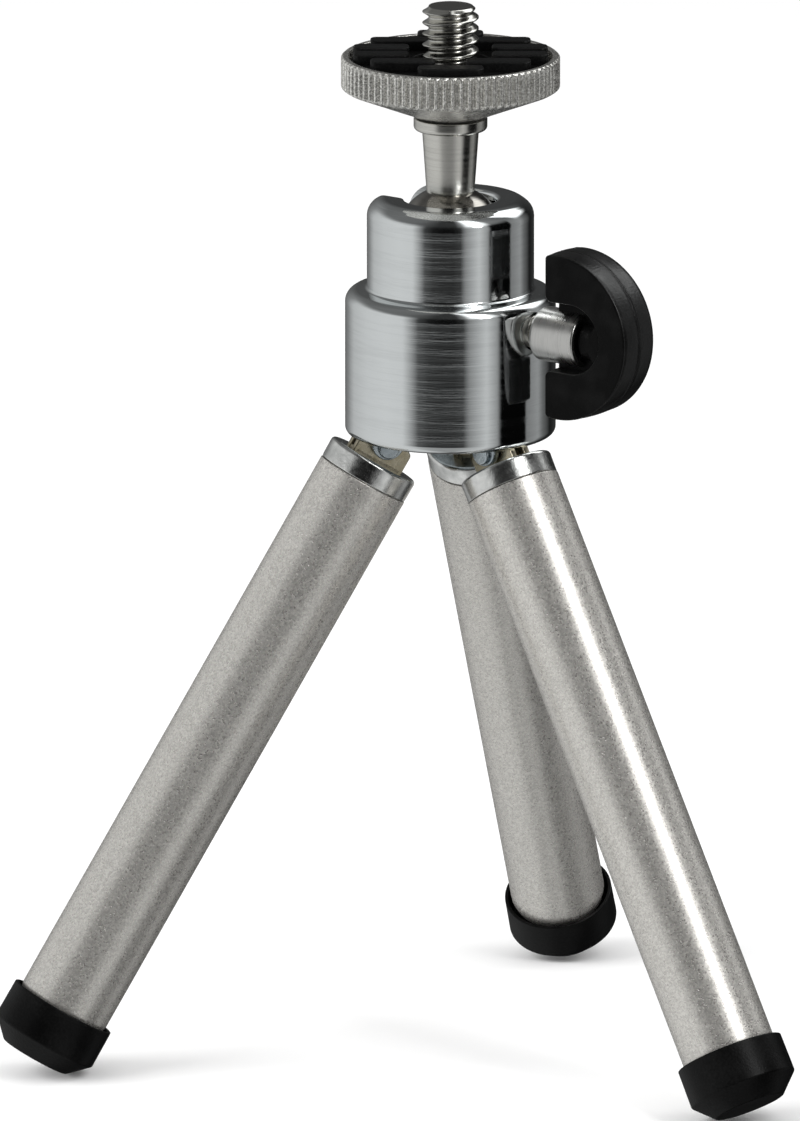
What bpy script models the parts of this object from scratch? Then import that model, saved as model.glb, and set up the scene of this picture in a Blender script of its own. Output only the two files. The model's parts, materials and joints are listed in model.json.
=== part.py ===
"""Mini tabletop tripod with a ball head, as separate parts.

Sizes are in millimetres and become metres where a mesh is made. Head heights are
measured up from the underside of the head housing, along the head's own axis. Legs
are made hanging from their hinge: x is outward, z is up along the leg's axis.
"""
import bpy
import bmesh
from math import acos, cos, hypot, pi, radians, sin, sqrt
from mathutils import Matrix, Vector

MM = 0.001

# Fits between neighbouring parts
GAP = 0.3             # two parts that seat on or in each other
RUN = 0.1             # a pin in its hole, or a sleeve on its tube

# Camera screw: quarter-inch, 20 threads to the inch
SCREW_R = 3.175
THREAD_PITCH = 1.27
THREAD_DEPTH = 0.72
SCREW_PROUD = 5.3     # screw above the top of the pad's ribs
SHANK_R = 1.8         # plain shank that fixes the screw in the stem
SHANK_LENGTH = 7.0
SCREW_CHAMFER = 0.9   # across, at the screw's tip

# Platform: disc and rubber pad; the knurling round the disc lies within its rim
DISC_R = 12.3
DISC_RIM = 3.8        # height of the rim that is gripped
DISC_DISH = 3.0       # depth of the shallow cone under the rim
DISC_LIP = 0.85       # rim wall round the pad
PAD_SEAT = 1.3        # depth of the pad's seat below the rim
PAD_BASE = 0.8
RIB_HEIGHT = 0.6
RIB_WIDTH = 2.2
RIB_PITCH = 3.7
RIB_COUNT = 6
RIB_TURN = 37.0       # degrees between the ribs and the clamp screw
PAD_HOLE_R = 4.3

# Stem and ball
STEM_TOP_R = 3.2
STEM_FOOT_R = 2.7
STEM_LENGTH = 7.1     # taper between collar and ball
COLLAR_R = 4.15
COLLAR_HEIGHT = 1.4
COLLAR_ROUND = 0.6    # rounding of the collar's lower edge
STEM_WEB_R = 0.9      # hole left in the stem's foot, where it meets the ball
BALL_R = 6.25
BALL_HEIGHT = 22.1    # ball centre above the underside of the head

# Head housing
MOUTH_WALL = 0.917    # top of the housing above the edge of the ball's seat
HEAD_R = 11.85
NECK_R = 9.4          # upper, narrower cylinder
SHOULDER_HEIGHT = 16.6
SHOULDER_DROP = 2.3
NECK_ROUND_IN = 2.4   # rounding of the top edge, across
NECK_ROUND_DOWN = 1.8
HEAD_BASE_ROUND = 1.2
MOUTH_R = 5.2
MOUTH_LIP = 0.5
SLOT_MARGIN = 0.35    # side clearance of the stem in the slot
SLOT_START = 2.0      # inner end of the slot's cut, from the head's axis

# Inside the head
CUP_TIP_DROP = 0.35   # lower end of the cup's cone, below the clamp screw's axis
CUP_TIP_R = 2.2
PLUG_HEIGHT = 5.6
RECESS_DEPTH = 2.8    # hollow in the underside, for the lug plate
RECESS_WALL = 1.7
PLATE_THICK = 1.0
FIXING_R = 1.4        # shank of the screw that holds the lug plate
FIXING_HEAD_R = 2.6
FIXING_HEAD = 1.2
FIXING_LENGTH = 4.6
DRIVE_HALF = (1.5, 0.3)   # half length and half width of the screw's cross slots
DRIVE_DEPTH = 0.6

# Clamp screw and its winged knob, on the head's +X side
CLAMP_HEIGHT = 13.2
CLAMP_R = 1.85
CLAMP_TIP = 2.9       # tip to the head's axis
CLAMP_PITCH = 0.7
CLAMP_THREAD = 0.3
BOSS_R = 3.1
BOSS_GAP = 1.25       # housing to the boss
BOSS_LENGTH = 6.1
WING_R = 9.5
WING_THICK = 5.6
WING_SET = 2.1        # the wing's straight edge, out from the boss's inner end
WING_CENTRE = 1.8     # from the straight edge to the centre of its round edge
WING_CROWN = 0.35
NOTCH_HALF = 3.9
NOTCH_DEPTH = 7.4
HUB_R = 2.8
HUB_SINK = 1.5        # how deep the hub runs into the wing past the notch

# Legs
LEG_COUNT = 3
LEG_TURN = -9.0       # degrees from the clamp screw to the first leg
LEG_SPREAD = 30.5     # degrees from upright, resting on the stop
HINGE_RADIUS = 7.8
HINGE_DROP = 0.9      # hinge axis below the underside of the head
PIN_R = 0.75
RIVET_HEAD_R = 1.2
RIVET_HEAD = 0.4
EAR_THICK = 0.8
EAR_R = 1.85
EAR_LIFT = 0.45       # centre of the ear's round end above the hinge
TONGUE_THICK = 2.9    # folded bracket, across both cheeks
TONGUE_FOLD = 1.1     # space between its cheeks
FOLD_WEB = 0.4        # sheet left between them, above the cap
TONGUE_HALF = 3.2     # half its width, across the leg
TONGUE_R = 2.05       # its round top, about the hinge
TONGUE_JOIN = 1.95    # where its stop face meets its round top, out from the hinge
TONGUE_TAIL = 5.0     # how far it reaches down into the cap
CAP_DROP = 2.0        # top of the cap below the hinge
CAP_HEIGHT = 2.5
CAP_SPIGOT = 4.0
TUBE_R = 5.35
TUBE_WALL = 0.4
TUBE_LENGTH = 69.5
CRIMP_IN = 0.3        # how far the tube's end is rolled inward
CRIMP_LENGTH = 1.2
INNER_R = 4.5
INNER_WALL = 0.4
LEG_TRAVEL = 34.0
BUSH_LENGTH = 8.0
FOOT_R = 6.18
FOOT_WALL = 0.45
FOOT_STRAIGHT = 4.4
FOOT_CHAMFER = 2.15
FOOT_FLOOR = 3.4      # solid rubber under the tube's end
FOOT_STUD = 3.0       # its core, up inside the inner tube, past its rim
FOOT_LAP = 1.0        # how far the cup's wall stands up past the tube's end

CUT_PAST = 4.0        # how far a cutter reaches past the wall it opens
ROUND = 40            # facets round the head and the platform
TUBE_ROUND = 24       # facets round legs and bushes
PIN_ROUND = 12        # facets round pins and small holes

# Sizes worked out from those above
COLLAR_TOP = BALL_HEIGHT + sqrt(BALL_R ** 2 - STEM_FOOT_R ** 2) + STEM_LENGTH + COLLAR_HEIGHT
DISC_BASE = COLLAR_TOP + GAP
RIM_BASE = DISC_BASE + DISC_DISH
RIM_TOP = RIM_BASE + DISC_RIM
PAD_FLOOR = RIM_TOP - PAD_SEAT + GAP
PAD_TOP = PAD_FLOOR + PAD_BASE + RIB_HEIGHT
BORE_R = BALL_R + GAP
MOUTH_UP = sqrt(BORE_R ** 2 - MOUTH_R ** 2)
HEAD_HEIGHT = BALL_HEIGHT + MOUTH_UP + MOUTH_WALL
BOSS_START = HEAD_R + BOSS_GAP
WING_START = BOSS_START + WING_SET
SLOT_HALF = STEM_TOP_R + SLOT_MARGIN
CUP_TOP = BALL_HEIGHT - 0.6
CUP_R = BORE_R - GAP
RECESS_R = HEAD_R - RECESS_WALL
PLATE_TOP = RECESS_DEPTH - GAP
EAR_INNER = TONGUE_THICK / 2 + GAP
TUBE_TOP = -CAP_DROP - CAP_HEIGHT - RUN
TUBE_END = TUBE_TOP - TUBE_LENGTH
TUBE_BORE_R = TUBE_R - TUBE_WALL
FOOT_RIM = TUBE_END + FOOT_LAP
FOOT_BASE = FOOT_RIM - FOOT_STRAIGHT - FOOT_CHAMFER
INNER_END = FOOT_BASE + FOOT_FLOOR
BUSH_END = TUBE_END + CRIMP_LENGTH + GAP + LEG_TRAVEL
BUSH_TOP = BUSH_END + BUSH_LENGTH

FINISHES = {
    "chrome": ((0.72, 0.72, 0.70), 0.12, 1.0),
    "nickel": ((0.66, 0.64, 0.60), 0.22, 1.0),
    "zinc": ((0.55, 0.58, 0.60), 0.30, 1.0),
    "yellow zinc": ((0.62, 0.55, 0.40), 0.32, 1.0),
    "satin silver": ((0.56, 0.54, 0.51), 0.42, 0.9),
    "black rubber": ((0.012, 0.012, 0.012), 0.75, 0.0),
    "black plastic": ((0.010, 0.010, 0.010), 0.35, 0.0),
    "white nylon": ((0.75, 0.74, 0.70), 0.50, 0.0),
}


# Making tools

def finish(obj, name, kind):
    """Gives an object its own Principled material."""
    colour, roughness, metallic = FINISHES[kind]
    material = bpy.data.materials.new(name)
    material.use_nodes = True
    shader = material.node_tree.nodes["Principled BSDF"]
    shader.inputs["Base Color"].default_value = (*colour, 1.0)
    shader.inputs["Roughness"].default_value = roughness
    shader.inputs["Metallic"].default_value = metallic
    obj.data.materials.append(material)


def make(name, bm, kind=None, parent=None, place=(0, 0, 0), turn=None):
    """Turns a mesh in millimetres into a named object at its place."""
    bmesh.ops.recalc_face_normals(bm, faces=bm.faces)
    bmesh.ops.scale(bm, vec=(MM, MM, MM), verts=bm.verts)
    mesh = bpy.data.meshes.new(name)
    bm.to_mesh(mesh)
    bm.free()
    mesh.shade_smooth()
    mesh.set_sharp_from_angle(angle=radians(32))
    obj = bpy.data.objects.new(name, mesh)
    bpy.context.collection.objects.link(obj)
    obj.parent = parent
    obj.location = Vector(place) * MM
    if turn:
        obj.rotation_euler = turn
    if kind:
        finish(obj, name, kind)
    else:
        obj.hide_render = True
        obj.display_type = "WIRE"
    return obj


def empty(name, parent=None, place=(0, 0, 0), turn=(0, 0, 0)):
    """A named frame that other objects hang from."""
    obj = bpy.data.objects.new(name, None)
    bpy.context.collection.objects.link(obj)
    obj.parent = parent
    obj.location = Vector(place) * MM
    obj.rotation_euler = turn
    return obj


def cut(target, cutter, operation="DIFFERENCE"):
    """Cuts a part with another shape, or joins the shape to it."""
    modifier = target.modifiers.new(cutter.name, "BOOLEAN")
    modifier.operation = operation
    modifier.solver = "EXACT"
    modifier.object = cutter


def lathe(profile, segments=TUBE_ROUND):
    """Spins a profile of (radius, height) points round the z axis."""
    bm = bmesh.new()
    points = [bm.verts.new((r, 0, z)) for r, z in profile]
    edges = [bm.edges.new(pair) for pair in zip(points, points[1:])]
    if profile[0][0] > 0:
        edges.append(bm.edges.new((points[-1], points[0])))
    bmesh.ops.spin(bm, geom=points + edges, cent=(0, 0, 0), axis=(0, 0, 1),
                   angle=2 * pi, steps=segments)
    bmesh.ops.remove_doubles(bm, verts=bm.verts, dist=0.001)
    return bm


def prism(outline, low, high):
    """Extrudes an (x, y) outline between two heights."""
    bm = bmesh.new()
    face = bm.faces.new([bm.verts.new((x, y, low)) for x, y in outline])
    walls = bmesh.ops.extrude_face_region(bm, geom=[face])
    top = [item for item in walls["geom"] if isinstance(item, bmesh.types.BMVert)]
    bmesh.ops.translate(bm, verts=top, vec=(0, 0, high - low))
    return bm


def box(low, high):
    """A block between two corners."""
    return prism([(low[0], low[1]), (high[0], low[1]), (high[0], high[1]), (low[0], high[1])],
                 low[2], high[2])


def merge(*meshes):
    """Puts several separate shapes in one mesh."""
    whole = meshes[0]
    for extra in meshes[1:]:
        loose = bpy.data.meshes.new("loose")
        extra.to_mesh(loose)
        extra.free()
        whole.from_mesh(loose)
        bpy.data.meshes.remove(loose)
    return whole


def turned(bm, angle, axis):
    """Turns a mesh about an axis through the origin."""
    bmesh.ops.rotate(bm, verts=bm.verts, cent=(0, 0, 0), matrix=Matrix.Rotation(angle, 3, axis))
    return bm


def moved(bm, offset):
    """Slides a mesh by an offset."""
    bmesh.ops.translate(bm, verts=bm.verts, vec=offset)
    return bm


def arc(centre, radius, start, end, steps):
    """Points along an arc, from one angle to another in degrees; radius may be (across, up)."""
    across, up = radius if isinstance(radius, tuple) else (radius, radius)
    angles = [radians(start + (end - start) * i / steps) for i in range(steps + 1)]
    return [(centre[0] + across * cos(a), centre[1] + up * sin(a)) for a in angles]


def ball_profile(radius, steps):
    """Half circle from the bottom pole to the top pole."""
    points = arc((0, 0), radius, -90, 90, steps)
    return [(0, -radius)] + points[1:-1] + [(0, radius)]


def thread_profile(radius, depth, pitch, low, high):
    """Outer side of a thread drawn as rings, from low to high."""
    turns = int((high - low) / pitch)
    points = []
    for i in range(turns):
        root = low + i * pitch
        points += [(radius - depth, root), (radius, root + pitch / 2)]
    return points + [(radius - depth, low + turns * pitch)]


# Platform and ball stem

def build_platform(parent):
    """Disc, ribbed pad and camera screw, turning about the stem's axis."""
    down = -BALL_HEIGHT
    hole = SHANK_R + GAP
    seat = DISC_BASE + (PAD_FLOOR - DISC_BASE) / 4
    pocket = SCREW_R + GAP + RUN
    pad_r = DISC_R - DISC_LIP
    profile = [(hole, DISC_BASE), (COLLAR_R, DISC_BASE), (DISC_R - 0.4, RIM_BASE),
               (DISC_R, RIM_BASE + 0.2), (DISC_R, RIM_TOP - 0.2), (DISC_R - 0.25, RIM_TOP),
               (pad_r, RIM_TOP), (pad_r, PAD_FLOOR - GAP), (pocket, PAD_FLOOR - GAP),
               (pocket, seat), (hole, seat)]
    make("knurled_disc", moved(lathe(profile, ROUND), (0, 0, down)), "nickel", parent)

    pad_edge = pad_r - GAP
    base = lathe([(PAD_HOLE_R, PAD_FLOOR), (pad_edge, PAD_FLOOR), (pad_edge, PAD_FLOOR + PAD_BASE),
                  (PAD_HOLE_R, PAD_FLOOR + PAD_BASE)], ROUND)
    pad = make("platform_pad", moved(base, (0, 0, down)), "black rubber", parent)
    bars = []
    for i in range(RIB_COUNT):
        across = (i - (RIB_COUNT - 1) / 2) * RIB_PITCH
        reach = sqrt((pad_edge - 0.5) ** 2 - (abs(across) + RIB_WIDTH / 2) ** 2)
        hole_half = PAD_HOLE_R + 0.3
        spans = [(-reach, reach)]
        if abs(across) - RIB_WIDTH / 2 < hole_half:
            spans = [(-reach, -hole_half), (hole_half, reach)]
        for left, right in spans:
            bars.append(box((left, across - RIB_WIDTH / 2, PAD_FLOOR + PAD_BASE / 2 + down),
                            (right, across + RIB_WIDTH / 2, PAD_TOP + down)))
    ribs = make("pad_ribs", turned(merge(*bars), radians(RIB_TURN), "Z"), None, parent)
    cut(pad, ribs, "UNION")

    screw_top = PAD_TOP + SCREW_PROUD
    screw_foot = seat + GAP
    threads = thread_profile(SCREW_R, THREAD_DEPTH, THREAD_PITCH, screw_foot + 1.0, screw_top - 0.3)
    outline = [(0, screw_foot - SHANK_LENGTH), (SHANK_R, screw_foot - SHANK_LENGTH),
               (SHANK_R, screw_foot), (SCREW_R - THREAD_DEPTH, screw_foot), *threads,
               (SCREW_R - THREAD_DEPTH, screw_top - 0.15), (SCREW_R - SCREW_CHAMFER, screw_top), (0, screw_top)]
    make("camera_screw", moved(lathe(outline, 16), (0, 0, down)), "nickel", parent)
    return screw_foot - SHANK_LENGTH


def build_stem(parent, shank_end):
    """Tapered stem with its collar; its foot hugs the ball and its bore takes the screw's shank."""
    down = -BALL_HEIGHT
    hug = BALL_R + RUN
    start = acos(STEM_WEB_R / hug)
    edge = acos(STEM_FOOT_R / hug)
    foot = arc((0, BALL_HEIGHT), hug, start * 180 / pi, edge * 180 / pi, 4)
    bore = SHANK_R + GAP
    profile = [*foot, (STEM_TOP_R, COLLAR_TOP - COLLAR_HEIGHT),
               (COLLAR_R - COLLAR_ROUND, COLLAR_TOP - COLLAR_HEIGHT),
               *arc((COLLAR_R - COLLAR_ROUND, COLLAR_TOP - COLLAR_HEIGHT + COLLAR_ROUND),
                    COLLAR_ROUND, -45, 0, 2),
               (COLLAR_R, COLLAR_TOP), (bore, COLLAR_TOP), (bore, shank_end - GAP),
               (STEM_WEB_R, shank_end - GAP)]
    make("ball_stem", moved(lathe(profile), (0, 0, down)), "nickel", parent)


# Head

def head_profile():
    """Section of the housing: outside from the base up, then down the bore."""
    low = HEAD_BASE_ROUND
    shoulder = arc((HEAD_R - SHOULDER_DROP, SHOULDER_HEIGHT - SHOULDER_DROP), SHOULDER_DROP, 0, 80, 4)
    crown = arc((NECK_R - NECK_ROUND_IN, HEAD_HEIGHT - NECK_ROUND_DOWN),
                (NECK_ROUND_IN, NECK_ROUND_DOWN), 0, 90, 5)
    seat = arc((0, BALL_HEIGHT), BORE_R, degrees_of(MOUTH_UP, MOUTH_R), 0, 4)
    return [(RECESS_R, 0), *arc((HEAD_R - low, low), low, -90, 0, 3), *shoulder,
            (NECK_R, SHOULDER_HEIGHT), *crown, (MOUTH_R + MOUTH_LIP, HEAD_HEIGHT),
            (MOUTH_R, HEAD_HEIGHT - MOUTH_LIP), *seat,
            (BORE_R, RECESS_DEPTH), (RECESS_R, RECESS_DEPTH)]


def degrees_of(up, across):
    """Angle in degrees of a point that lies so far up and across."""
    return acos(across / hypot(up, across)) * 180 / pi


def build_housing(parent):
    """Turned housing with its mouth, its slot for the stem and the clamp's threaded hole."""
    housing = make("head_housing", lathe(head_profile(), ROUND), "chrome", parent)
    slot_floor = BALL_HEIGHT
    tall = HEAD_HEIGHT + CUT_PAST
    outline = [(tall, -SLOT_HALF), (tall, SLOT_HALF)]
    outline += arc((slot_floor, 0), SLOT_HALF, 90, 270, 12)
    slot = turned(prism(outline, SLOT_START, NECK_R + CUT_PAST), -pi / 2, "Y")
    cut(housing, make("slot_cutter", slot, None, parent))
    inner = BORE_R - CUT_PAST
    outer = HEAD_R + CUT_PAST
    hole = lathe([(0, inner), (CLAMP_R + GAP, inner), (CLAMP_R + GAP, outer), (0, outer)],
                 TUBE_ROUND)
    cut(housing, make("clamp_hole_cutter", turned(hole, pi / 2, "Y"), None, parent,
                      (0, 0, CLAMP_HEIGHT)))
    return housing


def build_cup(parent):
    """Pressure cup under the ball; the clamp screw's cone lifts it by its own cone."""
    hug = BALL_R + GAP
    rim = acos((BALL_HEIGHT - CUP_TOP) / hug)
    angle = rim * 180 / pi - 90
    hollow = arc((0, BALL_HEIGHT), hug, angle, -90, 6)[:-1]
    tip = CLAMP_HEIGHT - CUP_TIP_DROP
    skirt = tip + CUP_R - CUP_TIP_R
    profile = [(0, tip), (CUP_TIP_R, tip), (CUP_R, skirt), (CUP_R, CUP_TOP), *hollow,
               (0, BALL_HEIGHT - hug)]
    make("pressure_cup", moved(lathe(profile), (0, 0, -CUP_TOP)), "white nylon", parent,
         (0, 0, CUP_TOP))


def pin_hole():
    """Cutter for a hinge pin's hole, along Y."""
    wide = PIN_R + RUN
    return turned(lathe([(0, -CUT_PAST), (wide, -CUT_PAST), (wide, CUT_PAST), (0, CUT_PAST)],
                        PIN_ROUND), pi / 2, "X")


def build_base(parent):
    """Core plug in the bore, and the lug plate and its screw in the hollow underside."""
    bore = FIXING_R + GAP
    plug_low = RECESS_DEPTH
    profile = [(bore, plug_low), (CUP_R, plug_low), (CUP_R, plug_low + PLUG_HEIGHT),
               (bore, plug_low + PLUG_HEIGHT)]
    make("core_plug", lathe(profile), "zinc", parent)

    plate_r = RECESS_R - GAP
    plate_low = PLATE_TOP - PLATE_THICK
    plate = make("lug_plate", lathe([(bore, plate_low), (plate_r, plate_low), (plate_r, PLATE_TOP),
                                     (bore, PLATE_TOP)], ROUND), "zinc", parent)
    ears = []
    holes = []
    for turn in leg_turns():
        for side in (-1, 1):
            near = side * EAR_INNER
            far = side * (EAR_INNER + EAR_THICK)
            centre = -HINGE_DROP + EAR_LIFT
            outline = [(HINGE_RADIUS + EAR_R, plate_low + PLATE_THICK / 2),
                       (HINGE_RADIUS - EAR_R, plate_low + PLATE_THICK / 2),
                       *arc((HINGE_RADIUS, centre), EAR_R, 180, 360, 8)]
            ear = turned(prism(outline, min(-near, -far), max(-near, -far)), pi / 2, "X")
            ears.append(turned(ear, turn, "Z"))
        hole = pin_hole()
        holes.append(turned(moved(hole, (HINGE_RADIUS, 0, -HINGE_DROP)), turn, "Z"))
    cut(plate, make("ear_shapes", merge(*ears), None, parent), "UNION")
    cut(plate, make("ear_holes", merge(*holes), None, parent))

    head_top = plate_low - GAP
    screw = [(0, head_top - FIXING_HEAD), (FIXING_HEAD_R - 0.4, head_top - FIXING_HEAD),
             (FIXING_HEAD_R, head_top - FIXING_HEAD + 0.4), (FIXING_HEAD_R, head_top),
             (FIXING_R, head_top), (FIXING_R, head_top + FIXING_LENGTH),
             (0, head_top + FIXING_LENGTH)]
    fixing = make("plate_screw", lathe(screw, 24), "zinc", parent)
    bars = []
    long, wide = DRIVE_HALF
    for turn in (0, pi / 2):
        bar = box((-long, -wide, head_top - FIXING_HEAD - 1), (long, wide, head_top - DRIVE_DEPTH))
        bars.append(turned(bar, turn, "Z"))
    for index, bar in enumerate(bars):
        cut(fixing, make(f"drive_slot_{index}", bar, None, parent))


# Clamp

def build_clamp(parent):
    """Clamp screw, its metal boss and the D-shaped winged knob, all turning about +X."""
    side = pi / 2
    tip_length = CLAMP_R - CLAMP_THREAD
    thread_end = BOSS_START - 0.2
    screw_end = WING_START + NOTCH_DEPTH - 1.0
    core = CLAMP_R - CLAMP_THREAD
    profile = [(0, CLAMP_TIP),
               *thread_profile(CLAMP_R, CLAMP_THREAD, CLAMP_PITCH, CLAMP_TIP + tip_length, thread_end),
               (core, screw_end), (0, screw_end)]
    make("clamp_screw", turned(lathe(profile, PIN_ROUND), side, "Y"), "nickel", parent)

    bore = core + GAP
    boss_end = BOSS_START + BOSS_LENGTH
    boss = [(bore, BOSS_START), (BOSS_R - 0.3, BOSS_START), (BOSS_R, BOSS_START + 0.3),
            (BOSS_R, boss_end - 0.5), (BOSS_R - 0.25, boss_end), (bore, boss_end)]
    make("clamp_boss", turned(lathe(boss), side, "Y"), "nickel", parent)

    centre = WING_START + WING_CENTRE
    sweep = acos(-WING_CENTRE / WING_R) * 180 / pi
    notch_end = WING_START + NOTCH_DEPTH
    rows = ((-1.0, 0.0), (-0.55, WING_CROWN), (0.55, WING_CROWN), (1.0, 0.0))
    wing = bmesh.new()
    loops = []
    for level, crown in rows:
        outline = arc((centre, 0), WING_R - WING_CROWN + crown, -sweep, sweep, 24)
        y = level * WING_THICK / 2
        loops.append([wing.verts.new((x, y, z)) for x, z in outline])
    for here, there in zip(loops, loops[1:]):
        for i in range(len(here)):
            j = (i + 1) % len(here)
            wing.faces.new((here[i], here[j], there[j], there[i]))
    wing.faces.new(loops[0])
    wing.faces.new(loops[-1])
    knob = make("clamp_knob", wing, "black plastic", parent)
    arch = notch_end - NOTCH_HALF
    notch_outline = [(WING_START - 2, NOTCH_HALF), (WING_START - 2, -NOTCH_HALF),
                     *arc((arch, 0), NOTCH_HALF, -90, 90, 16)]
    notch = turned(prism(notch_outline, -WING_THICK, WING_THICK), side, "X")
    cut(knob, make("notch_cutter", notch, None, parent))
    hub_end = notch_end + HUB_SINK
    hub = lathe([(0, boss_end + GAP), (HUB_R, boss_end + GAP), (HUB_R, hub_end), (0, hub_end)],
                TUBE_ROUND)
    cut(knob, make("hub_shape", turned(hub, side, "Y"), None, parent), "UNION")
    bore_shape = lathe([(0, boss_end - 1), (bore, boss_end - 1), (bore, screw_end + GAP),
                        (0, screw_end + GAP)], 20)
    cut(knob, make("hub_bore_cutter", turned(bore_shape, side, "Y"), None, parent))


# Legs

def leg_turns():
    """Turn of each leg about the head's axis, in radians."""
    return [radians(LEG_TURN + 360 * i / LEG_COUNT) for i in range(LEG_COUNT)]


def tongue_outline():
    """Side view of the folded bracket: a stop face outside, a round top and a straight tail."""
    room = HINGE_DROP - GAP
    tilt = radians(LEG_SPREAD)
    inner_edge = -TONGUE_HALF

    def stop(across):
        return (room - across * sin(tilt)) / cos(tilt)

    join = TONGUE_JOIN
    start = degrees_of(abs(stop(join)), join) * (1 if stop(join) > 0 else -1)
    round_top = arc((0, 0), TONGUE_R, start, 125, 8)
    tail = -CAP_DROP - TONGUE_TAIL
    return [(inner_edge, tail), (TONGUE_HALF, tail), (TONGUE_HALF, stop(TONGUE_HALF)),
            *round_top, (inner_edge, 0.3)]


def build_leg(parent, number, turn):
    """One leg, hanging from its hinge at the spread that its stop sets."""
    name = f"leg_{number}"
    hub = empty(f"{name}_bearing", parent, turn=(0, 0, turn))
    hinge = empty(f"{name}_hinge", hub, (HINGE_RADIUS, 0, -HINGE_DROP), (0, -radians(LEG_SPREAD), 0))

    reach = EAR_INNER + EAR_THICK + RUN
    rivet = [(0, -reach - RIVET_HEAD), (RIVET_HEAD_R, -reach - RIVET_HEAD), (RIVET_HEAD_R, -reach),
             (PIN_R, -reach), (PIN_R, reach), (RIVET_HEAD_R, reach),
             (RIVET_HEAD_R, reach + RIVET_HEAD), (0, reach + RIVET_HEAD)]
    make(f"{name}_rivet", turned(lathe(rivet, PIN_ROUND), pi / 2, "X"), "zinc", hub,
         (HINGE_RADIUS, 0, -HINGE_DROP))

    half = TONGUE_THICK / 2
    tongue = turned(prism(tongue_outline(), -half, half), pi / 2, "X")
    bracket = make(f"{name}_bracket", tongue, "yellow zinc", hinge)
    fold = box((-TONGUE_HALF - CUT_PAST, -TONGUE_FOLD / 2, -CAP_DROP + FOLD_WEB),
               (TONGUE_HALF + CUT_PAST, TONGUE_FOLD / 2, TONGUE_R + CUT_PAST))
    cut(bracket, make(f"{name}_fold_cutter", fold, None, hinge))
    cut(bracket, make(f"{name}_eye_cutter", pin_hole(), None, hinge))

    cap_top = -CAP_DROP
    cap_low = cap_top - CAP_HEIGHT
    spigot_r = TUBE_BORE_R - GAP
    cap = [(0, cap_low - CAP_SPIGOT), (spigot_r, cap_low - CAP_SPIGOT), (spigot_r, cap_low),
           (TUBE_R, cap_low), (TUBE_R, cap_top - 0.25), (TUBE_R - 0.25, cap_top), (0, cap_top)]
    cover = make(f"{name}_cap", lathe(cap), "nickel", hinge)
    pocket = box((-TONGUE_HALF - GAP, -half - GAP, cap_top - TONGUE_TAIL - GAP),
                 (TONGUE_HALF + GAP, half + GAP, cap_top + CUT_PAST))
    cut(cover, make(f"{name}_pocket_cutter", pocket, None, hinge))

    crimp_start = TUBE_END + CRIMP_LENGTH
    outer = [(TUBE_R - CRIMP_IN, TUBE_END), (TUBE_R, crimp_start), (TUBE_R, TUBE_TOP),
             (TUBE_BORE_R, TUBE_TOP), (TUBE_BORE_R, crimp_start),
             (TUBE_BORE_R - CRIMP_IN, TUBE_END)]
    make(f"{name}_outer_tube", lathe(outer), "satin silver", hinge)

    inner = [(INNER_R - INNER_WALL, INNER_END), (INNER_R, INNER_END), (INNER_R, BUSH_TOP),
             (INNER_R - INNER_WALL, BUSH_TOP)]
    make(f"{name}_inner_tube", lathe(inner), "nickel", hinge)

    bush_in = INNER_R + RUN
    bush_out = TUBE_BORE_R - RUN
    bush = [(bush_in, BUSH_END), (bush_out, BUSH_END), (bush_out, BUSH_TOP), (bush_in, BUSH_TOP)]
    make(f"{name}_guide_bush", lathe(bush), "white nylon", hinge)

    base_r = FOOT_R - FOOT_CHAMFER
    well_r = FOOT_R - FOOT_WALL
    stud_r = INNER_R - INNER_WALL - GAP
    floor = INNER_END - GAP
    foot = [(0, FOOT_BASE), (base_r, FOOT_BASE), (FOOT_R, FOOT_BASE + FOOT_CHAMFER),
            (FOOT_R, FOOT_RIM), (well_r, FOOT_RIM), (well_r, floor), (stud_r, floor),
            (stud_r, FOOT_RIM + FOOT_STUD), (0, FOOT_RIM + FOOT_STUD)]
    make(f"{name}_foot", lathe(foot), "black rubber", hinge)


# The whole tripod

def world_bounds():
    """Lowest and highest corner of every part as built."""
    bpy.context.view_layer.update()
    graph = bpy.context.evaluated_depsgraph_get()
    corners = []
    for obj in bpy.context.scene.objects:
        if obj.type == "MESH" and not obj.hide_render:
            solid = obj.evaluated_get(graph)
            corners += [solid.matrix_world @ vert.co for vert in solid.data.vertices]
    low = Vector(min(corner[i] for corner in corners) for i in range(3))
    high = Vector(max(corner[i] for corner in corners) for i in range(3))
    return low, high


def build():
    """Builds every part, then stands the tripod on the floor over the middle of its footprint."""
    for obj in list(bpy.data.objects):
        bpy.data.objects.remove(obj, do_unlink=True)
    tripod = empty("tripod")
    ball_frame = empty("ball_centre", tripod, (0, 0, BALL_HEIGHT))
    clamp_frame = empty("clamp_axis", tripod, (0, 0, CLAMP_HEIGHT))
    shank_end = build_platform(ball_frame)
    build_stem(ball_frame, shank_end)
    make("ball", lathe(ball_profile(BALL_R, 12)), "nickel", ball_frame)
    build_housing(tripod)
    build_cup(tripod)
    build_base(tripod)
    build_clamp(clamp_frame)
    for number, turn in enumerate(leg_turns(), start=1):
        build_leg(tripod, number, turn)
    low, high = world_bounds()
    tripod.location = (-(low.x + high.x) / 2, -(low.y + high.y) / 2, -low.z)
    bpy.context.view_layer.update()


build()
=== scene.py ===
"""Looks of a mini tabletop tripod with a ball head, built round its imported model."""
import json
import bmesh
import bpy
import numpy as np
from mathutils import Matrix, Vector


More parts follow.
